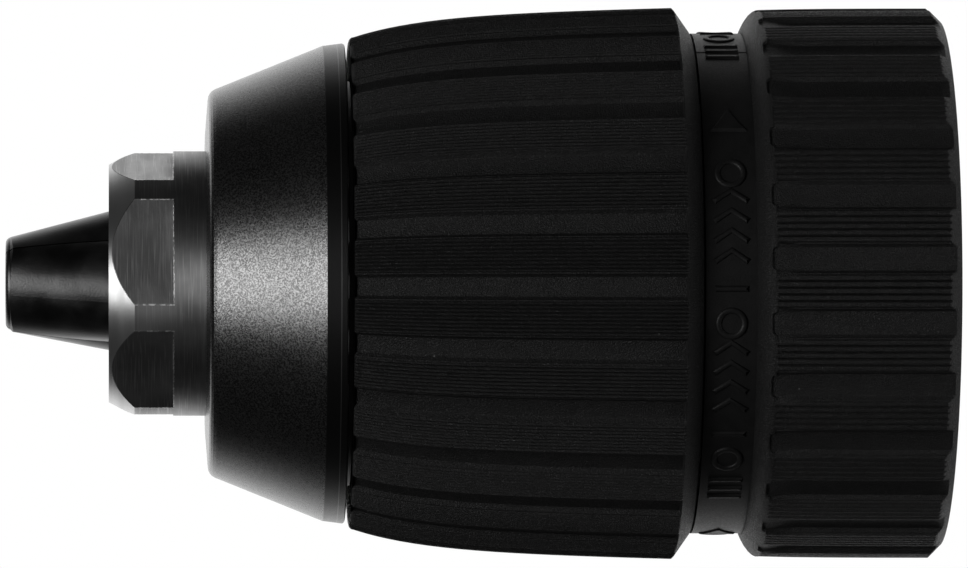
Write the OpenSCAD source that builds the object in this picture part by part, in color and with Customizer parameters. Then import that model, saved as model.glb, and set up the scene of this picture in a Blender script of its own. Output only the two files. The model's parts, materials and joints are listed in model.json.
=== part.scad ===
// Keyless two-sleeve drill chuck, 13 mm capacity, jaws closed.
// The chuck lies with its axis along X: nose towards -X, spindle mouth at the origin, +Z up.
// Every module draws along its own Z, which is then laid on X, so z values here are places on X.

/* [Lengths] */
// Ribbed ring at the rear
rear_ring_len = 15.5; // [13:0.1:20]
// Smooth neck between the two sleeves
neck_len = 3.9; // [3:0.1:8]
// Ribbed front sleeve
front_grip_len = 26.7; // [26:0.1:34]
// Steel cone in front of the sleeve
cap_len = 10.6; // [9.5:0.1:14]
// Bare nose in front of the cone
nose_len = 7.7; // [6.5:0.1:12]
// Closed jaws beyond the nose
jaw_reach = 8; // [5:0.1:10]
// Gap at each end of the front sleeve
sleeve_gap = 0.15; // [0.1:0.05:0.6]

/* [Sleeves] */
// Largest diameter of the front sleeve
front_grip_d = 43.06; // [42.6:0.02:50]
// Extra radius lost at the front edge of the front sleeve
front_grip_fall = 1.9; // [0.8:0.05:2.2]
// Length over which that fall fades by two thirds
front_grip_fade = 5.6; // [3:0.1:9]
// Radius gained per millimetre along the front sleeve
front_grip_slope = 0.025; // [0:0.005:0.05]
// Largest diameter of the rear ring
rear_ring_d = 42.96; // [41.6:0.02:50]
// Diameter of the neck
neck_d = 39; // [38.2:0.1:40]
// Ribs on each sleeve
rib_count = 27; // [12:1:36]
// Width of the flutes between ribs, in degrees
flute_angle = 5.6; // [3:0.1:8]
// Depth of the flutes
flute_depth = 0.55; // [0.2:0.05:0.7]

/* [Nose and cone] */
// Diameter of the nose
nose_d = 20.6; // [19.6:0.1:24]
// Spanner size of the six nose flats
nose_af = 18.8; // [18:0.1:21]
// Length of the flats
flat_len = 5; // [3:0.1:6]
// Largest diameter of the cone
cap_d = 37.4; // [36.8:0.1:40]
// Slope of the cone's side
cap_angle = 22; // [15:1:23]
// Thickness of the cone's front wall
cap_front_wall = 2; // [1.2:0.1:3]

/* [Jaws] */
// Diameter of each jaw
jaw_d = 8.32; // [7:0.01:8.4]
// Angle between a jaw and the chuck's axis
jaw_angle = 15.2; // [14:0.1:16]
// How far a closed jaw reaches past the nut's front
jaw_in_nut = 5.7; // [4.5:0.1:6.2]
// Radius over the closed jaws at their tips
tip_r = 3.5; // [3:0.1:3.6]
// Largest tool diameter
capacity = 13; // [8:0.5:13]
// Jaw movement for each turn of the nut, and pitch of the jaw teeth
lead = 2; // [1.5:0.1:2.5]
// Depth of the jaw teeth
tooth_depth = 0.7; // [0.3:0.1:1]

/* [Spindle end] */
// Major diameter of the spindle thread
spindle_d = 12.7; // [10:0.1:14]
// Depth of the spindle thread
spindle_len = 16; // [12:0.5:17]
// Diameter of the screw hole through the web
screw_d = 6.4; // [5:0.1:8]
// Thickness of the web that the screw holds
web_len = 6; // [4:0.5:8]
// Diameter of the hub
hub_d = 25; // [20:0.5:26]
// Length of the hub
hub_len = 12; // [9:0.5:12]

/* [Nut and bearing] */
// Length of the nut
nut_len = 6; // [5:0.5:7]
// Wall of the nut at its thin end
nut_wall = 2.4; // [1.6:0.1:2.6]
// Distance from the sleeve's front edge to the nut
nut_inset = 2.6; // [2.4:0.1:4]
// Thickness of each bearing washer
race_len = 1; // [0.8:0.1:1.5]
// Width of each bearing washer
race_width = 2.36; // [2.2:0.02:2.6]
// Diameter of the bearing balls
ball_d = 2; // [1.5:0.1:2]
// Number of bearing balls
ball_count = 24; // [12:1:30]
// Thickness of the body's bearing flange
flange_len = 3.5; // [3:0.1:5]
// Width of the band round the nut
band_wall = 0.75; // [0.6:0.05:0.8]
// Wall of the steel drive sleeve
drive_wall = 0.45; // [0.3:0.05:0.6]
// Number of ratchet teeth
ratchet_count = 48; // [24:1:60]
// Height of the ratchet teeth
ratchet_h = 0.5; // [0.3:0.05:0.6]
// Turn of the sleeve on the nut that sets the lock
lock_angle = 25; // [15:1:30]

/* [Hidden] */

$fn = 96;
eps = 0.01;
far = 60;                    // larger than any radius

// Clearances
jaw_clear = 0.06;            // jaw in its bore
wedge_clear = 0.06;          // jaw edge to the chuck's axis
thread_clear = 0.12;         // nut to the jaws' outside
run_clear = 0.2;             // radial, between parts that turn on each other
end_clear = 0.1;             // along the axis, between parts that turn on each other
ball_clear = 0.02;           // ball to washer

// Walls, steps and corners
nose_face_step = 1.05;       // radius lost by the nose's front chamfer
nose_chamfer = 2;            // its length
collar_step = 3.2;           // collar's front, beyond the nose
race_step = 0.4;             // washer bore, outside the jaw holes
back_step = 1.5;             // body behind the flange, beyond the hub
neck_wall = 1.05;
ring_seat = 0.2;             // the rear ring's bore lies this far under the neck's surface
lip_step = 0.2;              // and its front lip this far over it
drive_inset = 3.8;           // front sleeve's edge to the drive sleeve
drive_tail = 1.9;            // drive sleeve, past the flange
lip_len = 2;                 // thick front lip of the front sleeve
bearing_step = 0.6;          // body behind the flange, a short cone
mouth_chamfer = 0.5;
tool_play = 0.05;
hole_end = 0.6;              // jaw hole beyond the open jaw
tail_start = 2;              // bars start this far in front of the tips, and are cut back to them

// Places along the axis, from the spindle mouth to the jaw tips
z_ring = -rear_ring_len;
z_neck = z_ring - neck_len;
z_grip_back = z_neck - sleeve_gap;
z_grip = z_grip_back - front_grip_len;
z_cap_back = z_grip - sleeve_gap;
z_cap = z_cap_back - cap_len;
z_nose = z_cap - nose_len;
z_tip = z_nose - jaw_reach;
z_collar = z_cap + cap_front_wall;
z_drive = z_grip + drive_inset;
z_nut = z_grip + nut_inset;
z_nut_back = z_nut + nut_len;
z_balls = z_nut_back + race_len;
z_balls_back = z_balls + ball_d;
z_flange = z_balls_back + race_len;
z_flange_back = z_flange + flange_len;
z_hub = -hub_len;
z_web = -spindle_len - web_len;
z_drive_back = z_flange_back + drive_tail;

// Jaw lines: radius of a jaw's axis, and of its outside, at a place along the chuck
jaw_r = jaw_d / 2;
function jaw_out_r(z) = tip_r + (z - z_tip) * tan(jaw_angle);
function jaw_axis_r(z) = jaw_out_r(z) - jaw_r / cos(jaw_angle);
function jaw_hole_out_r(z) = jaw_out_r(z) + jaw_clear / cos(jaw_angle);
jaw_turns = [45, 165, 285];
jaw_travel = capacity / 2 / sin(jaw_angle);
jaw_len = (z_nut - z_tip + jaw_in_nut) / cos(jaw_angle);

// Radii, from the jaws outwards
tool_r = capacity / 2 + tool_play;
nose_r = nose_d / 2;
collar_front_r = nose_r + collar_step;
groove_r = jaw_out_r(z_nut) - run_clear;
nut_r = jaw_out_r(z_nut_back) + thread_clear + nut_wall;
collar_r = nut_r + run_clear;
race_in_r = jaw_hole_out_r(z_flange) + race_step;
race_out_r = race_in_r + race_width;
pitch_r = (race_in_r + race_out_r) / 2;
skirt_in_r = race_out_r + run_clear;
skirt_out_r = skirt_in_r + band_wall;
drive_in_r = skirt_out_r + run_clear;
drive_out_r = drive_in_r + drive_wall;
flange_r = race_out_r - 2 * ratchet_h;
back_r = hub_d / 2 + back_step;
neck_r = neck_d / 2;
carrier_bore_r = neck_r - neck_wall;
ring_bore_r = neck_r - ring_seat;
jaw_trim_r = carrier_bore_r - run_clear;

// Bodies turn about Z here, and lie along X in the chuck
module lay() { rotate([0, 90, 0]) children(); }

// A solid of revolution from radius and place pairs
module turned(points) { lay() rotate_extrude() polygon(points); }

// A tube between two places
module tube(r_in, r_out, z0, z1) {
    translate([0, 0, z0]) difference() {
        cylinder(r = r_out, h = z1 - z0);
        translate([0, 0, -1]) cylinder(r = r_in, h = z1 - z0 + 2);
    }
}

// A piece of tube, from one angle through another
module sector(r_in, r_out, z0, z1, from, through) {
    rotate([0, 0, from]) rotate_extrude(angle = through)
        polygon([[r_in, z0], [r_out, z0], [r_out, z1], [r_in, z1]]);
}

// A bar along a jaw's own axis, starting at the tip place and measured along the jaw
module jaw_bar(r, from, to) {
    translate([jaw_axis_r(z_tip), 0, z_tip]) rotate([0, jaw_angle, 0])
        translate([0, 0, from]) cylinder(r = r, h = to - from);
}

// Points along a round corner
function arc(r, z, radius, from, to, steps) =
    [for (k = [0:steps]) let (a = from + (to - from) * k / steps) [r + radius * cos(a), z + radius * sin(a)]];

// The round corner between a flat front at z and a side that leaves it at radius r with a slope
function front_corner(r, z, slope, radius) =
    arc(r + radius * tan(slope) - radius / cos(slope), z + radius, radius, -90, -slope, 4);

// ---- Body ----

flat_z = z_nose + flat_len;
nose_face_r = nose_r - nose_face_step;
collar_slope_len = (collar_r - collar_front_r) / tan(cap_angle);

module body_blank() {
    rotate_extrude() polygon(concat(
        [[0, z_nose], [nose_face_r, z_nose], [nose_r, z_nose + nose_chamfer], [nose_r, z_collar],
         [collar_front_r, z_collar], [collar_r, z_collar + collar_slope_len]],
        [[collar_r, z_nut - end_clear], [groove_r, z_nut - end_clear], [groove_r, z_balls_back - eps],
         [race_in_r, z_balls_back - eps], [race_in_r, z_flange], [flange_r, z_flange],
         [flange_r, z_flange_back], [back_r, z_flange_back + bearing_step], [back_r, z_hub],
         [hub_d / 2, z_hub], [hub_d / 2, -mouth_chamfer], [hub_d / 2 - mouth_chamfer, 0], [0, 0]]));
}

module spanner_flats() {
    for (k = [0:5])
        rotate([0, 0, 15 + 60 * k]) translate([nose_af / 2, -nose_r, z_nose - 1])
            cube([nose_r, 2 * nose_r, flat_z - z_nose + 1]);
}

module chuck_body() {
    color([0.30, 0.30, 0.31]) lay() difference() {
        body_blank();
        spanner_flats();
        translate([0, 0, z_nose - 1]) cylinder(r = tool_r, h = z_web - z_nose + 1);
        translate([0, 0, z_nose - eps])
            cylinder(r1 = tool_r + mouth_chamfer, r2 = tool_r, h = mouth_chamfer);
        translate([0, 0, z_web - 1]) cylinder(d = screw_d, h = web_len + 2);
        translate([0, 0, -spindle_len]) cylinder(d = spindle_d, h = spindle_len + 1);
        for (turn = jaw_turns)
            rotate([0, 0, turn]) jaw_bar(jaw_r + jaw_clear, -tail_start, jaw_len + jaw_travel + hole_end);
    }
}

// ---- Jaws ----

tooth_first = 9;
tooth_step = lead * cos(jaw_angle);
tooth_count = floor((jaw_len - tooth_first) / lead);
tooth_proud = 0.1;           // the comb starts this far outside the jaws
tooth_shape = [[0, tooth_proud], [0.35, -tooth_depth], [0.5, -tooth_depth], [0.9, tooth_proud]];
comb_back = tooth_depth + 0.4;
tip_round = 0.5;

// A comb whose teeth run round the chuck, just outside the jaws
module tooth_comb() {
    z_first = z_tip + tooth_first * cos(jaw_angle);
    z_last = z_first + tooth_count * tooth_step;
    rotate_extrude() polygon(concat(
        [for (k = [0:tooth_count - 1], p = tooth_shape)
            let (z = z_first + (k + p[0]) * tooth_step) [jaw_out_r(z) + p[1], z]],
        [[jaw_out_r(z_last) + comb_back, z_last], [jaw_out_r(z_first) + comb_back, z_first]]));
}

// A ring whose bore is the round corner of the jaws' tips
module tip_corner() {
    corner = front_corner(tip_r, z_tip - eps, jaw_angle, tip_round);
    z_end = z_tip + 2 * tip_round;
    rotate_extrude() polygon(concat(
        [[far, z_tip - 1], [corner[0][0], z_tip - 1]],
        corner,
        [[jaw_out_r(z_end) + tip_round, z_end], [far, z_end]]));
}

module jaw(turn) {
    color([0.10, 0.10, 0.11]) lay() rotate([0, 0, turn]) difference() {
        intersection() {
            jaw_bar(jaw_r, -tail_start, jaw_len);
            translate([wedge_clear, 0, z_tip]) linear_extrude(height = far)
                polygon([[0, 0], [far, -far * tan(60)], [far, far * tan(60)]]);
        }
        tooth_comb();
        tip_corner();
        // tail, bevelled to pass inside the neck when the jaws are open
        translate([-capacity / 2, 0, z_tip + jaw_len / 2]) difference() {
            cylinder(r = far, h = jaw_len);
            translate([0, 0, -1]) cylinder(r = jaw_trim_r, h = jaw_len + 2);
        }
    }
}

module jaw_1() { jaw(jaw_turns[0]); }
module jaw_2() { jaw(jaw_turns[1]); }
module jaw_3() { jaw(jaw_turns[2]); }

// ---- Nose cap ----

cap_r = cap_d / 2;
cap_shoulder_r = cap_r - 0.2;
cap_rim_len = 1.7;           // rim behind the cone
cap_shoulder_z = z_cap_back - cap_rim_len;
cap_front_r = cap_shoulder_r - (cap_shoulder_z - z_cap) * tan(cap_angle);
cap_edge = 0.9;
cap_end_round = 0.2;
cap_bead = 1.5;              // low bead round the nose, on the cap's front
cap_bead_h = 0.2;
cap_room = 0.25;             // inside the cap, round the collar

module nose_cap() {
    color([0.16, 0.16, 0.17]) turned(concat(
        [[nose_r, z_cap - cap_bead_h], [nose_r + cap_bead, z_cap - cap_bead_h]],
        front_corner(cap_front_r, z_cap, cap_angle, cap_edge),
        [[cap_shoulder_r, cap_shoulder_z]],
        arc(cap_r - cap_end_round, z_cap_back - cap_end_round, cap_end_round, 0, 90, 4),
        [[collar_r + cap_room, z_cap_back], [collar_r + cap_room, z_collar + collar_slope_len],
         [collar_front_r + cap_room, z_collar], [nose_r, z_collar]]));
}

// ---- Nut and band ----

split_gap = 0.2;             // between the nut's two halves

module nut_half(side) {
    color([0.55, 0.53, 0.50]) lay() difference() {
        translate([0, 0, z_nut]) difference() {
            cylinder(r = nut_r, h = nut_len);
            translate([0, 0, -eps]) cylinder(r1 = jaw_out_r(z_nut - eps) + thread_clear,
                r2 = jaw_out_r(z_nut_back + eps) + thread_clear, h = nut_len + 2 * eps);
        }
        translate([-far, side > 0 ? split_gap / 2 - far : -split_gap / 2, z_nut - 1])
            cube([2 * far, far, nut_len + 2]);
    }
}

module nut_half_a() { nut_half(1); }
module nut_half_b() { nut_half(-1); }

key_angle = 12;
key_play = 0.4;              // degrees between a key and its slot's end
key_slack = 0.2;             // the slots are cut this far under the keys
key_len = 4.2;
key_in_r = skirt_in_r;
key_end_play = 0.3;
notch_angle = lock_angle + key_angle + 2 * key_play;
z_skirt_end = z_flange - 0.2;
z_pawl_end = z_flange_back - 0.6;
band_back = 0.1;             // band's front edge behind the nut's

ratchet_step = 360 / ratchet_count;
pawl_angle = 50;             // from the tooth to the bead
tooth_turn = 3 * ratchet_step + 1;      // the tooth's steep side, just past a notch's steep face
pawl_turn = tooth_turn + pawl_angle;    // where the bead sits
pawl_in_r = race_out_r + 0.5;
pawl_out_r = skirt_out_r - 0.05;
pawl_end_play = 0.15;
pawl_gap_angle = 0.9;        // pawl's arm stops this far short of the bead
bead_r = 0.32;
bead_play = 0.02;
bead_mid_r = (skirt_in_r + skirt_out_r) / 2;
tab_angle = 14;

spring_turn = 140;           // middle of the detent spring
spring_angle = 36;
window_angle = 40;
z_spring = z_nut_back + 0.7;
spring_len = 2;
window_play = 0.2;

module nut_band() {
    color([0.50, 0.50, 0.52]) lay() difference() {
        rotate_extrude() polygon([
            [nut_r, z_nut + band_back], [skirt_out_r, z_nut + band_back], [skirt_out_r, z_pawl_end],
            [skirt_in_r, z_pawl_end], [skirt_in_r, z_nut_back], [nut_r, z_nut_back]]);
        // behind the skirt only the pawl's tab is left
        sector(nut_r, far, z_skirt_end, z_pawl_end + 1, pawl_turn + tab_angle, 360 - tab_angle);
        // slots for the keys, open at the front
        for (k = [0:2])
            sector(key_in_r - key_slack, far, z_nut - 1, z_drive + key_len + key_end_play,
                   120 * k - key_angle / 2 - key_play, notch_angle);
        // half-round seat for the pawl's bead
        rotate([0, 0, pawl_turn]) translate([bead_mid_r, 0, z_skirt_end])
            cylinder(r = bead_r + bead_play, h = far, $fn = 32);
        // window for the detent spring
        sector(nut_r, far, z_spring - window_play, z_spring + spring_len + window_play,
               spring_turn - window_angle / 2, window_angle);
    }
}

// ---- Thrust bearing ----

module front_race() {
    color([0.62, 0.62, 0.64]) lay() tube(race_in_r, skirt_in_r, z_nut_back, z_balls);
}

module rear_race() {
    color([0.62, 0.62, 0.64]) lay() tube(race_in_r, race_out_r, z_balls_back, z_flange);
}

module bearing_balls() {
    color([0.75, 0.75, 0.77]) lay()
        for (k = [0:ball_count - 1])
            rotate([0, 0, 360 * k / ball_count]) translate([pitch_r, 0, z_balls + ball_d / 2])
                sphere(r = ball_d / 2 - ball_clear, $fn = 24);
}

cage_len = 0.9;
cage_wall = 1.5;             // from the balls' circle to the cage's bore
cage_play = 0.1;
pocket_play = 0.03;

module ball_cage() {
    z_cage = z_balls + (ball_d - cage_len) / 2;
    color([0.66, 0.52, 0.25]) lay() difference() {
        tube(pitch_r - cage_wall, skirt_in_r - cage_play, z_cage, z_cage + cage_len);
        for (k = [0:ball_count - 1])
            rotate([0, 0, 360 * k / ball_count]) translate([pitch_r, 0, z_cage - 1])
                cylinder(r = ball_d / 2 + pocket_play, h = cage_len + 2, $fn = 24);
    }
}

// ---- Lock ----

ratchet_root_r = race_out_r - ratchet_h;
z_ratchet = z_flange + end_clear;
ratchet_len = flange_len - 5 * end_clear;

module ratchet_ring() {
    color([0.45, 0.45, 0.47]) lay() translate([0, 0, z_ratchet]) difference() {
        linear_extrude(height = ratchet_len)
            polygon([for (k = [0:ratchet_count - 1], p = [0, 1])
                let (r = p == 0 ? ratchet_root_r : race_out_r, a = ratchet_step * (k + p))
                    [r * cos(a), r * sin(a)]]);
        translate([0, 0, -1]) cylinder(r = flange_r, h = ratchet_len + 2);
    }
}

pawl_tooth_angle = 1.3;
tooth_clear = 0.05;          // free pawl's tooth over the ratchet's crests
z_pawl = z_skirt_end + pawl_end_play;

module lock_pawl() {
    z0 = z_pawl;
    color([0.40, 0.42, 0.46]) lay() {
        sector(pawl_in_r, pawl_out_r, z0, z_pawl_end, tooth_turn, pawl_angle - pawl_gap_angle);
        // the tooth starts behind the rear washer, so that it clears the washer when it is pressed in
        sector(race_out_r + tooth_clear, pawl_in_r + eps, z_ratchet, z_pawl_end, tooth_turn, pawl_tooth_angle);
        rotate([0, 0, pawl_turn]) translate([bead_mid_r, 0, z0])
            cylinder(r = bead_r, h = z_pawl_end - z0, $fn = 32);
    }
}

bump_r = 0.4;
bump_play = 0.08;
leaf_r = skirt_in_r + 0.1;   // inside of the spring's leaf
spring_wall = 0.25;
groove_depth = 0.1;

module detent_spring() {
    color([0.35, 0.38, 0.44]) lay() {
        sector(leaf_r, leaf_r + spring_wall, z_spring, z_spring + spring_len,
               spring_turn - spring_angle / 2, spring_angle);
        rotate([0, 0, spring_turn]) translate([drive_in_r - bump_play - bump_r, 0, z_spring])
            cylinder(r = bump_r, h = spring_len, $fn = 32);
    }
}

// ---- Front sleeve ----

cam_angle = 9;
cam_press = 0.3;             // how far the cam presses the pawl in
cam_cover = 2.5;             // how far the cam passes over the pawl's end

module drive_sleeve() {
    color([0.48, 0.48, 0.50]) lay() difference() {
        union() {
            tube(drive_in_r, drive_out_r, z_drive, z_drive_back);
            for (k = [0:2])
                sector(key_in_r, drive_in_r + eps, z_drive, z_drive + key_len,
                       120 * k - key_angle / 2, key_angle);
            // cam that presses the pawl in once the sleeve has turned by the lock angle
            sector(pawl_out_r - cam_press, drive_in_r + eps, z_pawl, z_pawl_end,
                   tooth_turn + cam_cover - lock_angle - cam_angle, cam_angle);
        }
        // grooves that hold the detent bump at each end of the lock's turn
        for (turn = [0, lock_angle])
            rotate([0, 0, spring_turn + turn])
                translate([drive_in_r - bump_r + groove_depth, 0, z_spring - window_play])
                    cylinder(r = bump_r, h = spring_len + 2 * window_play, $fn = 32);
    }
}

grip_chamfer_len = 1.4;
grip_rib_len = front_grip_len - grip_chamfer_len;
grip_steps = 5;
grip_edge = 0.4;             // bevel of the front edge

// Outer radius of the front sleeve at a distance behind its front edge
function grip_r(t) = front_grip_d / 2 - front_grip_slope * (grip_rib_len - t)
    - front_grip_fall * exp(-t / front_grip_fade);

// The ribbed stretch, with its points closer together at the front where it curves most
function grip_outline(sunk) =
    [for (k = [0:grip_steps]) let (t = grip_edge + (grip_rib_len - grip_edge) * pow(k / grip_steps, 2))
        [grip_r(t) - sunk, z_grip + t]];

module flutes(outline, z0, z1) {
    last = len(outline) - 1;
    for (k = [0:rib_count - 1])
        rotate([0, 0, 360 * (k + 0.5) / rib_count - flute_angle / 2])
            rotate_extrude(angle = flute_angle)
                polygon(concat([[outline[0][0], z0]], outline,
                    [[outline[last][0], z1], [far, z1], [far, z0]]));
}

front_rib_turn = 10.8;
rear_rib_turn = 4.93;

module front_grip() {
    color([0.06, 0.06, 0.065]) lay() difference() {
        rotate_extrude() polygon(concat(
            [[collar_r + run_clear, z_grip], [grip_r(0) - grip_edge, z_grip]],
            grip_outline(0),
            [[neck_r, z_grip_back], [drive_out_r, z_grip_back], [drive_out_r, z_drive],
             [drive_in_r, z_drive], [drive_in_r, z_grip + lip_len],
             [collar_r + run_clear, z_grip + lip_len]]));
        rotate([0, 0, front_rib_turn]) flutes(grip_outline(flute_depth), z_grip - 1, z_grip_back + 1);
    }
}

// ---- Rear sleeve ----

hub_ring_r = hub_d / 2 + 2;
boss_r = hub_ring_r + 1.5;
hub_ring_end = 0.6;          // sunk behind the mouth
web_back = 1.2;
web_wall = 3;
boss_front = 2;              // boss starts this far behind the hub's front
rear_ribs = 6;
rib_wall = 1.4;
rib_front = 3;
rib_sink = 0.3;              // ribs run into the boss

module hub_ring() {
    color([0.45, 0.45, 0.46]) lay() tube(hub_d / 2, hub_ring_r, z_hub, -hub_ring_end);
}

module rear_carrier() {
    color([0.06, 0.06, 0.065]) lay() {
        tube(carrier_bore_r, neck_r, z_neck, z_ring);
        tube(carrier_bore_r, ring_bore_r, z_ring - eps, -hub_ring_end);
        tube(hub_ring_r, carrier_bore_r + eps, -web_back - web_wall, -web_back);
        tube(hub_ring_r, boss_r, z_hub + boss_front, -hub_ring_end);
        for (k = [0:rear_ribs - 1])
            rotate([0, 0, 360 / rear_ribs * (k + 0.5)])
                translate([boss_r - rib_sink, -rib_wall / 2, z_hub + rib_front])
                    cube([carrier_bore_r - boss_r + 2 * rib_sink, rib_wall, hub_len - rib_front - web_back]);
    }
}

ring_r = rear_ring_d / 2;
ring_chamfer = 0.98;
function ring_outline(sunk) = [
    [ring_r - 0.33 - sunk, z_ring + 1],
    [ring_r - 0.15 - sunk, z_ring + 2.1],
    [ring_r - sunk, -ring_chamfer + sunk],
];

module rear_grip() {
    lip_r = neck_r + lip_step;
    color([0.06, 0.06, 0.065]) lay() difference() {
        rotate_extrude() polygon(concat(
            [[ring_bore_r, z_ring], [lip_r, z_ring], [lip_r + 0.7, z_ring + 0.4]],
            ring_outline(0),
            [[ring_r - ring_chamfer, 0], [ring_bore_r, 0]]));
        rotate([0, 0, rear_rib_turn]) flutes(ring_outline(flute_depth), z_ring - 1, 1);
    }
}

chuck_body();
jaw_1();
jaw_2();
jaw_3();
nose_cap();
nut_half_a();
nut_half_b();
nut_band();
front_race();
bearing_balls();
ball_cage();
rear_race();
ratchet_ring();
lock_pawl();
detent_spring();
drive_sleeve();
front_grip();
hub_ring();
rear_carrier();
rear_grip();
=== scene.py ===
"""Looks for the keyless drill chuck: detailed sleeves, marks, spindle thread, materials, light and camera.

The chuck's axis is X, with the jaws towards -X and the spindle mouth at the origin. An angle round the axis is
0 at the side that faces the camera (-Y) and grows upwards (+Z). Lengths are in metres, and MM turns millimetres
into metres.
"""

import json
import math

import bpy
import numpy as np
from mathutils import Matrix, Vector


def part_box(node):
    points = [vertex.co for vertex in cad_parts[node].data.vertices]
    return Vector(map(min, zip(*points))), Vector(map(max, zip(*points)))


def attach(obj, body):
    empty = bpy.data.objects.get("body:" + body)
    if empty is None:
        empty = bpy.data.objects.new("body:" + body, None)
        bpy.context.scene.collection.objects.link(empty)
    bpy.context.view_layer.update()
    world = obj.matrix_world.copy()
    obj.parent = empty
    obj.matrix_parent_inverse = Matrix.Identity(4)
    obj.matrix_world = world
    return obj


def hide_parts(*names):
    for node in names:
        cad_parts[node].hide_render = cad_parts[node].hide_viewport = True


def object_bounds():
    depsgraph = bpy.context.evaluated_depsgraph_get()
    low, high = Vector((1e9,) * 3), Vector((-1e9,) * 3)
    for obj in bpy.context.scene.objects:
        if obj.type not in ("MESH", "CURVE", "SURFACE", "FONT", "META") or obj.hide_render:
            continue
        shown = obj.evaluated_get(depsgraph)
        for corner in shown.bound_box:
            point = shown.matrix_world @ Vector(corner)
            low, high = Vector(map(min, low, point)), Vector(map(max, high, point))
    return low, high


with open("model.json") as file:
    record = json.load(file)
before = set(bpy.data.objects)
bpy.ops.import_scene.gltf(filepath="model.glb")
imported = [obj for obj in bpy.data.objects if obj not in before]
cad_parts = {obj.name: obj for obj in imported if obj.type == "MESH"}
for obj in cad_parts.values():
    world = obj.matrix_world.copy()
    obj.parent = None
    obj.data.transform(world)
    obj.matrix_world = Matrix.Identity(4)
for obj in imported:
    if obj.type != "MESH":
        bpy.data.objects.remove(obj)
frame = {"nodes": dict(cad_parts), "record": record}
cad_lo, cad_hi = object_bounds()

MM = 0.001
RIBS = 27


# ---------------------------------------------------------------- places taken from the frame

def span(node):
    """Where a CAD node starts and ends along the axis, and its largest radius."""
    lo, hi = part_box(node)
    return lo.x, hi.x, max(abs(lo.y), abs(lo.z), abs(hi.y), abs(hi.z))


grip_front, grip_back, grip_r = span("front_grip")
ring_front, ring_back, ring_r = span("rear_grip")
neck_front, _, neck_r = span("rear_carrier")
_, cap_back, _ = span("nose_cap")
nose_front, hub_face, _ = span("chuck_body")
_, _, drive_r = span("drive_sleeve")


# ---------------------------------------------------------------- camera

CAMERA_FOOT = -64.1 * MM             # the point of the axis nearest to the camera
CAMERA_AWAY = 690 * MM               # and how far the camera is from it
CAMERA_AIM = -35.47 * MM             # the point of the axis that the camera looks at
CAMERA_DROP = 0.04 * MM              # it looks this far under the axis
LENS = 329.4                         # focal length and sensor width, as cameras state them
SENSOR = 36.0

camera_data = bpy.data.cameras.new("camera")
camera_data.sensor_width = SENSOR
camera_data.lens = LENS
camera_data.clip_start, camera_data.clip_end = 0.01, 20.0
camera = bpy.data.objects.new("camera", camera_data)
bpy.context.collection.objects.link(camera)
camera.location = (CAMERA_FOOT, -CAMERA_AWAY, 0.0)
look = Vector((CAMERA_AIM, 0.0, -CAMERA_DROP)) - camera.location
camera.rotation_euler = look.to_track_quat("-Z", "Y").to_euler()
bpy.context.scene.camera = camera


# ---------------------------------------------------------------- node helpers

class Nodes:
    """A small builder for node trees."""

    def __init__(self, tree):
        self.tree = tree

    def add(self, kind, inputs=None, **settings):
        """A node with its settings. Each of its inputs is a number or colour, or another node's output."""
        node = self.tree.nodes.new(kind)
        for name, value in settings.items():
            setattr(node, name, value)
        for name, value in (inputs or {}).items():
            if isinstance(value, bpy.types.NodeSocket):
                self.tree.links.new(value, node.inputs[name])
            else:
                node.inputs[name].default_value = value
        return node

    def math(self, operation, *values):
        return self.add("ShaderNodeMath", dict(enumerate(values)), operation=operation).outputs[0]

    def step(self, value, low, high, to_low=0.0, to_high=1.0):
        """A smooth step from to_low at low to to_high at high."""
        node = self.add(
            "ShaderNodeMapRange",
            {"Value": value, "From Min": low, "From Max": high, "To Min": to_low, "To Max": to_high},
            interpolation_type="SMOOTHSTEP",
        )
        return node.outputs[0]

    def mix(self, factor, a, b):
        """Colour a at factor 0 and colour b at factor 1."""
        return self.add("ShaderNodeMix", {0: factor, 6: a, 7: b}, data_type="RGBA").outputs[2]

    def noise(self, vector, scale, detail=2.0, roughness=0.5):
        """Noise from 0 to 1, with this many cells to the metre."""
        node = self.add(
            "ShaderNodeTexNoise",
            {"Vector": vector, "Scale": scale, "Detail": detail, "Roughness": roughness},
        )
        return node.outputs["Fac"]

    def band(self, value, middle, half):
        """1 within half of the middle, 0 beyond."""
        off = self.math("ABSOLUTE", self.math("SUBTRACT", value, middle))
        return self.step(off, half * 1.15, half * 0.85)

    def place(self):
        """The point on the object, its place along the axis, and its radius and angle round it."""
        point = self.add("ShaderNodeTexCoord").outputs["Object"]
        split = self.add("ShaderNodeSeparateXYZ", {0: point})
        x, y, z = split.outputs
        square = self.math("ADD", self.math("MULTIPLY", y, y), self.math("MULTIPLY", z, z))
        radius = self.math("SQRT", square)
        angle = self.math("ARCTAN2", z, self.math("MULTIPLY", y, -1.0))
        return point, x, radius, angle

    def vector(self, x, y, z):
        return self.add("ShaderNodeCombineXYZ", {0: x, 1: y, 2: z}).outputs[0]

    def bump(self, height, distance, strength):
        """A normal for a relief: its height from 0 to 1, times distance."""
        inputs = {"Height": height, "Distance": distance, "Strength": strength}
        return self.add("ShaderNodeBump", inputs).outputs[0]


def grey(level):
    return (level, level, level, 1.0)


def new_material(name, **surface):
    """A material with a Principled shader whose sockets are set from surface."""
    material = bpy.data.materials.new(name)
    material.use_nodes = True
    shader = material.node_tree.nodes["Principled BSDF"]
    for socket, value in surface.items():
        shader.inputs[socket.replace("_", " ")].default_value = value
    return material, Nodes(material.node_tree), shader


def link(nodes, output, shader, socket):
    nodes.tree.links.new(output, shader.inputs[socket])


# ---------------------------------------------------------------- materials

SPECK_SHARE = 0.07                   # share of the cells that hold a speck of dust


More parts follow.
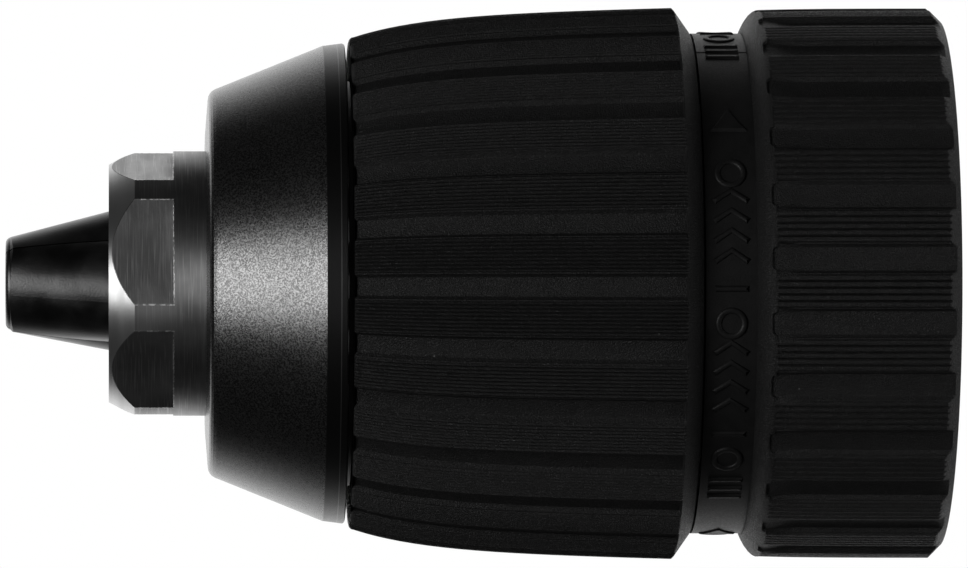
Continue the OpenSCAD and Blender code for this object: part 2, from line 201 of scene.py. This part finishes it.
def moulded_plastic(name, level, gloss, roughness, texture, dust):
    """Black moulded plastic: a spark-eroded grain with painted glints, faint mottling and specks of dust."""
    material, nodes, shader = new_material(
        name, Base_Color=grey(level), Roughness=roughness, Specular_IOR_Level=gloss)
    point, _, _, _ = nodes.place()
    mottle = nodes.noise(point, 900.0, detail=3.0)
    grain = nodes.noise(point, 9000.0, roughness=0.6)
    glint = nodes.step(nodes.noise(point, 10500.0, detail=1.0), 0.5, 0.7)
    glint = nodes.math("MULTIPLY", glint, texture)
    cells = nodes.add("ShaderNodeTexVoronoi", {"Vector": point, "Scale": 650.0}).outputs
    draw = nodes.add("ShaderNodeSeparateColor", {0: cells["Color"]}).outputs[0]
    has_speck = nodes.math("GREATER_THAN", draw, 1 - SPECK_SHARE)
    speck = nodes.math("MULTIPLY", has_speck, nodes.step(cells["Distance"], 0.05, 0.025))
    shade = nodes.mix(nodes.step(mottle, 0.3, 0.7), grey(level * 0.8), grey(level * 1.25))
    # painted glints: small points of the grain made lighter in colour, standing in for sparkling light
    shade = nodes.mix(glint, shade, grey(level * 4.0))
    shade = nodes.mix(nodes.math("MULTIPLY", speck, dust), shade, grey(0.3))
    link(nodes, shade, shader, "Base Color")
    rough = nodes.step(grain, 0.25, 0.75, roughness - 0.1, roughness + 0.12)
    link(nodes, nodes.math("SUBTRACT", rough, nodes.math("MULTIPLY", glint, 0.2)), shader, "Roughness")
    link(nodes, nodes.bump(grain, 0.11 * MM, texture), shader, "Normal")
    return material


RIM_LEN = 1.7 * MM                   # rim behind the cone
RIM_BLUR = 0.04 * MM
LINE_PLACE = 0.62 * MM               # scribed line, in front of the rim's rear edge
LINE_HALF = 0.035 * MM


def blasted_steel():
    """Black satin steel: a cone blasted to an even grain, and a darker rim with a bright scribed line."""
    material, nodes, shader = new_material(
        "blasted_steel", Base_Color=grey(0.05), Metallic=1.0, Roughness=0.35)
    point, x, _, _ = nodes.place()
    grain = nodes.noise(point, 8000.0, detail=3.0, roughness=0.75)
    cloud = nodes.noise(point, 300.0, detail=3.0)
    rim_start = cap_back - RIM_LEN
    rim = nodes.step(x, rim_start - RIM_BLUR, rim_start + RIM_BLUR)
    line = nodes.band(x, cap_back - LINE_PLACE, LINE_HALF)
    shade = nodes.mix(nodes.step(cloud, 0.3, 0.7), grey(0.032), grey(0.044))
    shade = nodes.mix(nodes.step(grain, 0.44, 0.6), shade, grey(0.115))
    shade = nodes.mix(rim, shade, grey(0.026))
    shade = nodes.mix(line, shade, grey(0.1))
    link(nodes, shade, shader, "Base Color")
    rough = nodes.step(grain, 0.2, 0.8, 0.24, 0.31)
    link(nodes, nodes.math("ADD", rough, nodes.math("MULTIPLY", rim, 0.06)), shader, "Roughness")
    link(nodes, nodes.bump(grain, 0.06 * MM, 0.2), shader, "Normal")
    return material


FLATS = 6
FLAT_LEN = 5 * MM
FLAT_HALF = math.radians(24.1)       # half the angle that a flat takes of the nose
FLAT_TURN = math.radians(15.0)
FLAT_R = 9.4 * MM                    # flats from the axis
CHAMFER_LEN = 2 * MM                 # chamfer on the nose's front
BLUR = 0.05 * MM                     # edges in the material fade over this
EDGE_HIGHLIGHT_HALF = 0.05 * MM                # half widths of the painted edge highlights behind and beside a flat
SIDE_HIGHLIGHT_HALF = 0.006


def turned_steel():
    """Turned steel for the body: lathe rings stretch its highlights, and its flats have painted highlights
    along their edges.
    """
    material, nodes, shader = new_material(
        "turned_steel", Base_Color=grey(0.16), Metallic=1.0, Roughness=0.5, Anisotropic=0.78,
        Anisotropic_Rotation=0.25)
    point, x, radius, angle = nodes.place()
    along = nodes.vector(x, radius, 0.0)
    rings = nodes.noise(along, 5200.0, roughness=0.6)
    wide_rings = nodes.noise(along, 900.0)
    stretched = nodes.vector(nodes.math("MULTIPLY", x, 16.0), nodes.math("MULTIPLY", angle, 0.004), radius)
    streaks = nodes.noise(stretched, 700.0, detail=3.0)
    cloud = nodes.noise(point, 260.0, detail=3.0)

    # angle from the middle of the nearest flat, and whether the point lies on it
    share = 2 * math.pi / FLATS
    turn = nodes.math("ADD", angle, FLAT_TURN + FLATS * share)
    off_flat = nodes.math("SUBTRACT", nodes.math("FLOORED_MODULO", turn, share), share / 2)
    side = nodes.math("ABSOLUTE", off_flat)
    on_flat = nodes.band(nodes.math("MULTIPLY", radius, nodes.math("COSINE", off_flat)), FLAT_R, 0.03 * MM)
    chamfer_end = nose_front + CHAMFER_LEN
    chamfer = nodes.math("MULTIPLY", nodes.step(x, chamfer_end + BLUR, chamfer_end - BLUR),
                         nodes.math("SUBTRACT", 1.0, on_flat))

    # painted edge highlights: broken bright lines where the flats end, outside the bores
    flat_end = nose_front + FLAT_LEN
    beside = nodes.math("MULTIPLY", nodes.math("GREATER_THAN", flat_end + EDGE_HIGHLIGHT_HALF, x),
                        nodes.math("GREATER_THAN", x, chamfer_end - 2 * BLUR))
    side_highlight = nodes.math("MULTIPLY", nodes.band(side, FLAT_HALF, SIDE_HIGHLIGHT_HALF), beside)
    end_highlight = nodes.math("MULTIPLY", nodes.band(x, flat_end, EDGE_HIGHLIGHT_HALF),
                          nodes.step(side, FLAT_HALF, 0.9 * FLAT_HALF))
    broken = nodes.step(nodes.noise(point, 4200.0), 0.4, 0.62, 0.05, 0.7)
    outside = nodes.step(radius, FLAT_R - 2 * BLUR, FLAT_R - 0.4 * BLUR)
    edge_highlight = nodes.math("MULTIPLY", nodes.math("MAXIMUM", end_highlight, side_highlight), broken)
    edge_highlight = nodes.math("MULTIPLY", edge_highlight, outside)

    shade = nodes.mix(nodes.step(cloud, 0.3, 0.75), grey(0.15), grey(0.24))
    shade = nodes.mix(nodes.step(streaks, 0.5, 0.75), shade, grey(0.3))
    # painted highlight: the chamfer's colour is made lighter; its lower roughness, below, is its smoother
    # turning
    shade = nodes.mix(chamfer, shade, grey(0.42))
    # painted edge highlights, nearly white, along the flats' edges
    shade = nodes.mix(edge_highlight, shade, grey(0.95))
    link(nodes, shade, shader, "Base Color")
    rough = nodes.step(wide_rings, 0.3, 0.7, 0.46, 0.54)
    link(nodes, nodes.math("SUBTRACT", rough, nodes.math("MULTIPLY", chamfer, 0.08)), shader, "Roughness")
    link(nodes, nodes.bump(rings, 0.03 * MM, 0.4), shader, "Normal")
    tangent = nodes.add("ShaderNodeTangent", direction_type="RADIAL", axis="X")
    link(nodes, tangent.outputs[0], shader, "Tangent")
    return material


def black_oxide():
    """Smooth black oxide on the ground jaws."""
    material, nodes, shader = new_material(
        "black_oxide", Base_Color=grey(0.04), Metallic=1.0, Roughness=0.32)
    point, _, _, _ = nodes.place()
    cloud = nodes.noise(point, 380.0, detail=4.0)
    fine = nodes.noise(point, 6500.0)
    link(nodes, nodes.mix(nodes.step(cloud, 0.3, 0.7), grey(0.03), grey(0.055)), shader, "Base Color")
    link(nodes, nodes.step(cloud, 0.2, 0.8, 0.28, 0.4), shader, "Roughness")
    link(nodes, nodes.bump(fine, 0.02 * MM, 0.4), shader, "Normal")
    return material


def plain_metal(name, colour, roughness, line_scale, line_strength):
    """An inner steel or brass part: its colour with lathe or grinding lines and light staining."""
    material, nodes, shader = new_material(name, Base_Color=colour, Metallic=1.0, Roughness=roughness)
    point, x, radius, _ = nodes.place()
    lines = nodes.noise(nodes.vector(x, radius, 0.0), line_scale)
    stain = nodes.noise(point, 300.0, detail=3.0)
    dark = tuple(0.72 * c for c in colour[:3]) + (1.0,)
    link(nodes, nodes.mix(nodes.step(stain, 0.35, 0.75), colour, dark), shader, "Base Color")
    link(nodes, nodes.step(stain, 0.2, 0.8, roughness - 0.05, roughness + 0.1), shader, "Roughness")
    link(nodes, nodes.bump(lines, 0.02 * MM, line_strength), shader, "Normal")
    return material


looks = {
    "sleeve_plastic": moulded_plastic(
        "sleeve_plastic", level=0.004, gloss=0.17, roughness=0.54, texture=1.0, dust=0.4),
    "neck_plastic": moulded_plastic(
        "neck_plastic", level=0.005, gloss=0.2, roughness=0.5, texture=0.15, dust=0.0),
    "blasted_steel": blasted_steel(),
    "turned_steel": turned_steel(),
    "black_oxide": black_oxide(),
    "nut_steel": plain_metal("nut_steel", (0.36, 0.35, 0.33, 1.0), 0.34, 4200.0, 0.5),
    "plain_steel": plain_metal("plain_steel", (0.40, 0.40, 0.41, 1.0), 0.36, 3600.0, 0.5),
    "ground_steel": plain_metal("ground_steel", (0.62, 0.62, 0.64, 1.0), 0.14, 6000.0, 0.15),
    "spring_steel": plain_metal("spring_steel", (0.20, 0.24, 0.32, 1.0), 0.28, 5000.0, 0.2),
    "cage_brass": plain_metal("cage_brass", (0.62, 0.47, 0.20, 1.0), 0.32, 4200.0, 0.3),
}

slot_of = {part["node"]: part["material_slot"] for part in frame["record"]["subparts"]}


SHARP_ANGLE = math.radians(32)


def dress(piece, slot):
    """Gives a piece one material, smooth shading and sharp edges."""
    piece.data.materials.clear()
    piece.data.materials.append(looks[slot])
    piece.data.polygons.foreach_set("use_smooth", [True] * len(piece.data.polygons))
    piece.data.set_sharp_from_angle(angle=SHARP_ANGLE)
    piece.data.update()


def new_piece(name, vertices, faces, slot):
    """A dressed mesh object in the scene."""
    mesh = bpy.data.meshes.new(name)
    mesh.from_pydata(vertices, [], faces)
    mesh.validate()
    piece = bpy.data.objects.new(name, mesh)
    bpy.context.collection.objects.link(piece)
    dress(piece, slot)
    return piece


for node, piece in frame["nodes"].items():
    dress(piece, slot_of[node])


# ---------------------------------------------------------------- round skins

FLOOR_HOLLOW = 0.05 * MM             # a flute's floor is this much deeper in its middle


def smooth(t):
    """0 below 0, 1 above 1, and a smooth rise between."""
    t = np.clip(t, 0.0, 1.0)
    return t * t * (3.0 - 2.0 * t)


class Ribs:
    """The ribs and flutes round a sleeve: at each of its angles, how far the surface lies under the crests.

    Angles are in degrees. A rib is half_width to each side, is cut into small ridges along the axis, and stands
    beside flutes with sloping walls. valley is the share of a ridge that each of its valleys' sides takes.
    """

    def __init__(self, first_rib, half_width, ridges, ridge_depth, valley, wall, flute_depth):
        pitch = 360.0 / RIBS
        ridge = 2 * half_width / ridges
        offs, sinks = [], []
        for k in range(ridges):                          # each ridge: valley, flat crest, valley
            start = -half_width + k * ridge
            for share, sink in ((0.0, 1.0), (valley, 0.2), (0.5, 0.0), (1 - valley, 0.2)):
                offs.append(start + share * ridge)
                sinks.append(sink * ridge_depth)
        offs[0] += 0.02                                  # a little off the last wall's end
        floor_half = pitch / 2 - half_width - wall
        foot = pitch / 2 - floor_half
        offs += [half_width, half_width + 0.25 * wall, foot - 0.15 * wall]
        sinks += [ridge_depth, ridge_depth * 1.1, flute_depth * 0.93]
        shares = (0.3, 0.55, 0.7, 0.82, 0.91, 0.97, 1.0)
        for share in [-v for v in reversed(shares)] + [0.0] + list(shares):      # hollow floor of the flute
            offs.append(pitch / 2 + floor_half * share)
            sinks.append(flute_depth + FLOOR_HOLLOW * (1 - share ** 2))
        offs += [pitch - foot + 0.15 * wall, pitch - half_width - 0.25 * wall]
        sinks += [flute_depth * 0.93, ridge_depth * 1.1]
        offs, sinks = np.array(offs), np.array(sinks)
        self.angles = np.radians((first_rib + pitch * np.arange(RIBS)[:, None] + offs[None, :]).ravel())
        self.sinks = np.tile(sinks, RIBS)
        self.from_floor = np.tile(np.abs(offs - pitch / 2) / floor_half, RIBS)
        self.in_flute = self.from_floor <= 1.0001 + wall / floor_half
        self.floor_half = floor_half


class Skin:
    """Rows of a ring-shaped closed skin, from its front round to its bore and back."""

    def __init__(self, name, front, ribs):
        self.name, self.front, self.ribs = name, front, ribs
        self.along, self.radii = [], []

    def row(self, t, radius):
        """A row at t behind the front. Its t and radius are one number, or one for each angle."""
        shape = self.ribs.sinks.shape
        self.along.append(np.broadcast_to(t, shape).astype(float))
        self.radii.append(np.broadcast_to(radius, shape).astype(float))

    def build(self, slot, body, node):
        """Joins each row to the next, and the last to the first, and puts the skin in place of a CAD node."""
        along, radii, angles = np.array(self.along), np.array(self.radii), self.ribs.angles
        rows, columns = radii.shape
        x = (self.front + along).ravel()
        y = (-radii * np.cos(angles)).ravel()
        z = (radii * np.sin(angles)).ravel()
        row, column = np.meshgrid(np.arange(rows), np.arange(columns), indexing="ij")
        next_row, next_column = (row + 1) % rows, (column + 1) % columns
        faces = np.stack(
            [row * columns + column, row * columns + next_column,
             next_row * columns + next_column, next_row * columns + column], axis=-1).reshape(-1, 4)
        piece = new_piece(self.name, np.stack([x, y, z], axis=-1).tolist(), faces.tolist(), slot)
        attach(piece, body)
        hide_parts(node)


# ---------------------------------------------------------------- front sleeve

FRONT_FALL = 1.9 * MM                # the crest falls this much at the front edge,
FRONT_FADE = 5.6 * MM                # fading over this length
FRONT_SLOPE = 0.025
FRONT_CHAMFER = 1.4 * MM             # rear chamfer, down to the neck
FRONT_LEAD = 0.2 * MM                # the front face stands back this far, for a straight gap
FRONT_EDGE = 0.4 * MM                # rounding of the front edge
FLUTE_WALL = 0.14 * MM               # wall that ends the flutes
NECK_STEP = 0.05 * MM                # the chamfer's foot over the neck
DRIVE_INSET = 3.8 * MM               # room for the drive sleeve: its start, and how far it reaches inwards
DRIVE_WALL = 0.45 * MM
LIP_LEN = 2 * MM                     # thick front lip, and its bore
LIP_BORE = 16 * MM


def front_crest(t):
    """Radius over the ribs, t behind the sleeve's front edge."""
    rib_length = (grip_back - grip_front) - FRONT_CHAMFER
    return grip_r - FRONT_SLOPE * (rib_length - t) - FRONT_FALL * np.exp(-t / FRONT_FADE)


def make_front_sleeve():
    """The front sleeve: outside from its front edge to the neck, then its bore back to the front."""
    ribs = Ribs(first_rib=5.95, half_width=3.66, ridges=9, ridge_depth=0.16 * MM, valley=0.28, wall=1.0,
                flute_depth=0.55 * MM)
    skin = Skin("front_sleeve_skin", grip_front, ribs)
    length = grip_back - grip_front
    rib_end = length - FRONT_CHAMFER
    rib_start = FRONT_LEAD + FRONT_EDGE
    edge_steps = 7
    for k in range(edge_steps + 1):                      # rounded front edge, which ribs and flutes run over
        turn = math.pi / 2 * k / edge_steps
        skin.row(FRONT_LEAD + FRONT_EDGE * (1 - math.cos(turn)),
                 front_crest(rib_start) - FRONT_EDGE * (1 - math.sin(turn))
                 - ribs.sinks * min(1.0, 3 * math.sin(turn)))
    steps = 20
    for k in range(1, steps + 1):                        # ribbed stretch, with its rows closer at the front
        t = rib_start + (rib_end - rib_start) * (k / steps) ** 1.6
        skin.row(t, front_crest(t) - ribs.sinks)
    top = float(front_crest(rib_end))
    foot = neck_r + NECK_STEP
    for share in (0.25, 0.6, 1.0):                       # the flutes' end wall, where the chamfer starts
        skin.row(rib_end + FLUTE_WALL * share, top - FLUTE_WALL * share - ribs.sinks * (1 - share) ** 0.7)
    for share in (0.5, 0.93):                            # the chamfer, with a small round at its foot
        skin.row(rib_end + FLUTE_WALL + (FRONT_CHAMFER - FLUTE_WALL) * share,
                 top - FLUTE_WALL + (foot - top + FLUTE_WALL) * share)
    skin.row(length - 0.02 * MM, foot - 0.02 * MM)
    skin.row(length, foot - 0.1 * MM)
    bore = drive_r - DRIVE_WALL
    for t, r in ((length, drive_r), (DRIVE_INSET, drive_r), (DRIVE_INSET, bore), (LIP_LEN, bore),
                 (LIP_LEN, LIP_BORE), (FRONT_LEAD, LIP_BORE)):
        skin.row(t, r)
    skin.build("sleeve_plastic", "sleeve", "front_grip")


# ---------------------------------------------------------------- rear ring

RING_CHAMFER = 0.98 * MM             # rear chamfer
RING_LIP = 0.2 * MM                  # front edge over the neck, and the bore under its surface
RING_SEAT = 0.2 * MM
RING_RISE = 1.45 * MM                # length of the rounded rise behind the front edge
RING_FALL = 0.2 * MM                 # the crest falls this much towards the front, fading over this length
RING_FADE = 4 * MM
POCKET_START = 1.0 * MM              # the flutes are pockets that start behind a plain rim
POCKET_WALL = 0.10 * MM              # length of their front walls
POCKET_CORNER = 0.36 * MM            # radius of their front corners
POCKET_SHALLOW = 0.55                # share of the depth that is missing just behind the front wall
RIDGE_START = 1.3 * MM               # where the small ridges start, and how long they take
RIDGE_RUN_IN = 0.3 * MM
BORE_CHAMFER = 0.15 * MM


def ring_crest(t):
    """Radius over the ring's ribs, t behind its front: a rounded rise, then nearly straight."""
    lip = neck_r + RING_LIP
    share = np.clip(t / RING_RISE, 0.0, 1.0)
    full = ring_r - RING_FALL * np.exp(-t / RING_FADE)
    return lip + (full - lip) * (1 - (1 - share) ** 2.3)


def make_rear_ring():
    """The rear ring: a plain rim, pockets with rounded corners, the rear chamfer and a straight bore."""
    ribs = Ribs(first_rib=-1.55, half_width=3.42, ridges=5, ridge_depth=0.19 * MM, valley=0.20, wall=0.85,
                flute_depth=0.52 * MM)
    skin = Skin("rear_ring_skin", ring_front, ribs)
    length = ring_back - ring_front
    bore = neck_r - RING_SEAT
    near = POCKET_CORNER / (math.radians(ribs.floor_half) * ring_r)          # where a pocket's corners begin
    round_off = 1 - np.sqrt(1 - np.clip((ribs.from_floor - 1 + near) / near, 0.0, 0.995) ** 2)
    starts = np.where(ribs.in_flute, POCKET_START + POCKET_CORNER * round_off, RIDGE_START)
    walls = np.where(ribs.in_flute, POCKET_WALL, RIDGE_RUN_IN)
    shallow = np.where(ribs.in_flute, POCKET_SHALLOW, 0.0)
    for share in (0.0, 0.06, 0.16, 0.32, 0.55, 0.78, 0.94, 1.0):             # a plain rim before the pockets
        skin.row(starts * share, ring_crest(starts * share))
    for share in (0.12, 0.35, 0.65, 0.88, 1.0):                              # the pockets' front walls
        t = starts + walls * share
        skin.row(t, ring_crest(t) - ribs.sinks * (1 - shallow) * smooth(share))
    last = length - RING_CHAMFER
    for share in (0.02, 0.05, 0.09, 0.14, 0.2, 0.4, 0.7, 1.0):               # they reach full depth at a fifth
        t = (starts + walls) * (1 - share) + last * share
        skin.row(t, ring_crest(t) - ribs.sinks * (1 - shallow * (1 - smooth(share / 0.2))))
    last_r = float(ring_crest(last))
    chamfer_steps = 7
    for k in range(1, chamfer_steps + 1):                # rear chamfer, which cuts ribs and flutes
        drop = RING_CHAMFER * k / chamfer_steps
        skin.row(last + drop, np.minimum(last_r - drop, last_r - ribs.sinks))
    skin.row(length, bore + BORE_CHAMFER)
    skin.row(length - BORE_CHAMFER, bore)
    skin.row(0.0, bore)
    skin.build("sleeve_plastic", "body", "rear_grip")


# ---------------------------------------------------------------- neck marks

STROKE = 0.25 * MM                   # half the width of a mark's lines
# Half of a line's rounded section, from its side to its middle: inset and height in mm
MARK_EDGE = ((0.0, -0.02), (0.03, 0.06), (0.09, 0.115), (0.17, 0.14), (0.25, 0.145))


def stroke(mesh, points, widths, closed=False, lift=1.0):
    """A raised line on the neck through (degrees, place) points, where place is along the axis from the middle.

    Its half widths are one number, or one for each point. Its sides are rounded, as a moulded mark's are. Its
    height is scaled by lift.
    """
    vertices, faces = mesh
    middle = (neck_front + ring_front) / 2
    flat = np.array([(math.radians(a) * neck_r, v) for a, v in points])
    widths = np.broadcast_to(widths, len(flat))
    count, across = len(flat), 2 * len(MARK_EDGE)
    first = len(vertices)
    for k, (u, v) in enumerate(flat):
        before = flat[k - 1] if closed or k > 0 else flat[k]
        after = flat[(k + 1) % count] if closed or k < count - 1 else flat[k]
        way = (after - before) / max(np.linalg.norm(after - before), 1e-9)
        side = np.array([-way[1], way[0]])
        end = 0 if closed else (k == 0) - (k == count - 1)
        scale = min(1.0, widths[k] / STROKE)
        for sign, edge in ((-1, MARK_EDGE), (1, tuple(reversed(MARK_EDGE)))):
            for inset, height in edge:
                inset *= MM * scale * 0.96
                pu, pv = (u, v) + side * sign * (widths[k] - inset) + way * end * inset
                r = neck_r + height * MM * (lift if height > 0 else 1.0)
                vertices.append((middle + pv, -r * math.cos(pu / neck_r), r * math.sin(pu / neck_r)))
    for k in range(count if closed else count - 1):
        a, b = first + across * k, first + across * ((k + 1) % count)
        faces += [(a + n, a + (n + 1) % across, b + (n + 1) % across, b + n) for n in range(across)]
    if not closed:
        faces.append(tuple(first + n for n in reversed(range(across))))
        faces.append(tuple(first + across * (count - 1) + n for n in range(across)))


def ring_mark(mesh, angle, radius):
    """A round ring on the neck."""
    count = 32
    turns = [2 * math.pi * k / count for k in range(count)]
    points = [(angle + math.degrees(radius / neck_r) * math.sin(t), radius * math.cos(t)) for t in turns]
    stroke(mesh, points, STROKE, closed=True)


def bar_mark(mesh, angle, half):
    """A straight bar along the axis."""
    stroke(mesh, [(angle, -half), (angle, 0.0), (angle, half)], STROKE)


def chevron_mark(mesh, angle, half, rise):
    """An open arrow head that points up."""
    stroke(mesh, [(angle, -half), (angle + rise, 0.0), (angle, half)], STROKE)


def make_marks():
    """Generic raised marks in place of the neck's text, and the mould's parting lines."""
    mesh = ([], [])
    half = 1.32 * MM
    for side in (0.0, 120.0, 240.0):                     # the same marks on three sides
        stroke(mesh, [(36.4 + side, 0), (38.5 + side, 0), (42.7 + side, 0)],     # an arrow head
               [1.42 * MM, 0.96 * MM, 0.03 * MM])
        for angle in (25.5, -9.0, -43.5):                # a ring to hold, and the way to turn it
            ring_mark(mesh, angle + side, 1.0 * MM)
        for angle in (18.6, 14.0, 9.4, 4.8, -15.9, -20.5, -25.1, -29.7):
            chevron_mark(mesh, angle + side, half, 2.6)
        for angle in (-1.2, -36.0, -50.4, -53.6, -56.8):
            bar_mark(mesh, angle + side, half)
    for angle in (66.2, 246.2):                          # the mould's parting lines
        reach = (ring_front - neck_front) / 2
        stroke(mesh, [(angle, -reach), (angle, reach)], 0.06 * MM, lift=0.25)
    vertices, faces = mesh
    marks = new_piece("neck_marks", vertices, faces, "neck_plastic")
    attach(marks, "body")


# ---------------------------------------------------------------- spindle thread

THREAD_PITCH = 1.27 * MM
THREAD_DEPTH = 0.62 * MM
THREAD_R = 6.35 * MM                 # the bore's wall
THREAD_ROOT = 0.02 * MM              # the ridge's foot lies this far in the wall
THREAD_START = 0.4 * MM              # from the hub's face
THREAD_TURNS = 12
# The ridge's section: place along the axis as a share of the pitch, and height as a share of the depth
THREAD_SECTION = ((-0.56, 0.0), (-0.08, 1.0), (0.08, 1.0), (0.56, 0.0))


def make_spindle_thread():
    """The ridge of the spindle thread, wound along the bore's wall and fading out at both ends."""
    per_turn = 72
    start = hub_face - THREAD_START
    sides = len(THREAD_SECTION)
    vertices, faces = [], []
    total = THREAD_TURNS * per_turn
    for k in range(total + 1):
        angle = 2 * math.pi * k / per_turn
        fade = float(smooth(min(k, total - k) / (per_turn / 3)))
        for along, height in THREAD_SECTION:
            r = THREAD_R + THREAD_ROOT - height * THREAD_DEPTH * fade
            x = start - THREAD_PITCH * (k / per_turn + THREAD_SECTION[-1][0]) + along * THREAD_PITCH
            vertices.append((x, -r * math.cos(angle), r * math.sin(angle)))
    for k in range(total):
        for side in range(sides):
            other = (side + 1) % sides
            a, b = sides * k, sides * (k + 1)
            faces.append((a + side, b + side, b + other, a + other))
    faces.append(tuple(range(sides)))
    faces.append(tuple(sides * total + side for side in reversed(range(sides))))
    ridge = new_piece("spindle_thread_ridge", vertices, faces, "turned_steel")
    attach(ridge, "body")


make_front_sleeve()
make_rear_ring()
make_marks()
make_spindle_thread()


# ---------------------------------------------------------------- stage and light

FLOOR_DROP = 120 * MM                # floor under the axis
FLOOR_R = 900 * MM
SURROUND_R = 2000 * MM


def emitter(name, strength):
    """A material that only gives off white light."""
    material = bpy.data.materials.new(name)
    material.use_nodes = True
    tree = material.node_tree
    tree.nodes.clear()
    light = tree.nodes.new("ShaderNodeEmission")
    light.inputs["Strength"].default_value = strength
    out = tree.nodes.new("ShaderNodeOutputMaterial")
    tree.links.new(light.outputs[0], out.inputs[0])
    return material


def make_stage():
    """A pale floor below the chuck and a white surround, which light nothing: only the camera sees them."""
    bpy.ops.mesh.primitive_circle_add(
        vertices=96, radius=FLOOR_R, fill_type="NGON", location=(-36 * MM, 0, -FLOOR_DROP))
    floor = bpy.context.object
    floor.name = "floor"
    material, _, _ = new_material(
        "floor", Base_Color=grey(0.9), Roughness=0.9, Emission_Color=grey(1.0), Emission_Strength=0.35)
    floor.data.materials.append(material)
    bpy.ops.mesh.primitive_uv_sphere_add(segments=48, ring_count=24, radius=SURROUND_R)
    surround = bpy.context.object
    surround.name = "surround"
    surround.data.materials.append(emitter("surround", 1.0))
    for stage_piece in (floor, surround):
        for flag in ("visible_glossy", "visible_diffuse", "visible_shadow", "visible_transmission"):
            setattr(stage_piece, flag, False)


def softbox(name, azimuth, elevation, distance, width, height, power):
    """An area light that faces the chuck. Azimuth 0 is the camera's side, and grows towards +X."""
    a, e = math.radians(azimuth), math.radians(elevation)
    middle = Vector(((cad_lo.x + cad_hi.x) / 2, 0, 0))
    away = Vector((math.sin(a) * math.cos(e), -math.cos(a) * math.cos(e), math.sin(e)))
    data = bpy.data.lights.new(name, "AREA")
    data.shape = "RECTANGLE"
    data.size, data.size_y = width, height
    data.energy = power
    lamp = bpy.data.objects.new(name, data)
    bpy.context.collection.objects.link(lamp)
    lamp.location = middle + away * distance
    lamp.rotation_euler = away.to_track_quat("Z", "Y").to_euler()


WORLD_FRONT = 0.05                   # the world's strength on the camera's side, and behind the chuck
WORLD_BEHIND = 1.3


def make_world():
    """Dim in front, so that black parts stay black, and white behind, for light edges."""
    world = bpy.data.worlds.new("studio")
    world.use_nodes = True
    bpy.context.scene.world = world
    nodes = Nodes(world.node_tree)
    background = world.node_tree.nodes["Background"]
    background.inputs["Color"].default_value = (1.0, 1.0, 1.0, 1.0)
    direction = nodes.add("ShaderNodeTexCoord").outputs["Generated"]
    split = nodes.add("ShaderNodeSeparateXYZ", {0: direction})
    behind = nodes.step(split.outputs[1], 0.35, 0.9, WORLD_FRONT, WORLD_BEHIND)
    world.node_tree.links.new(behind, background.inputs["Strength"])


make_stage()
make_world()
softbox("key", azimuth=-46.0, elevation=1.5, distance=0.9, width=0.42, height=0.5, power=5.9)
softbox("side", azimuth=84.0, elevation=0.0, distance=0.9, width=0.9, height=0.7, power=5.0)

bpy.context.scene.view_settings.view_transform = "Standard"
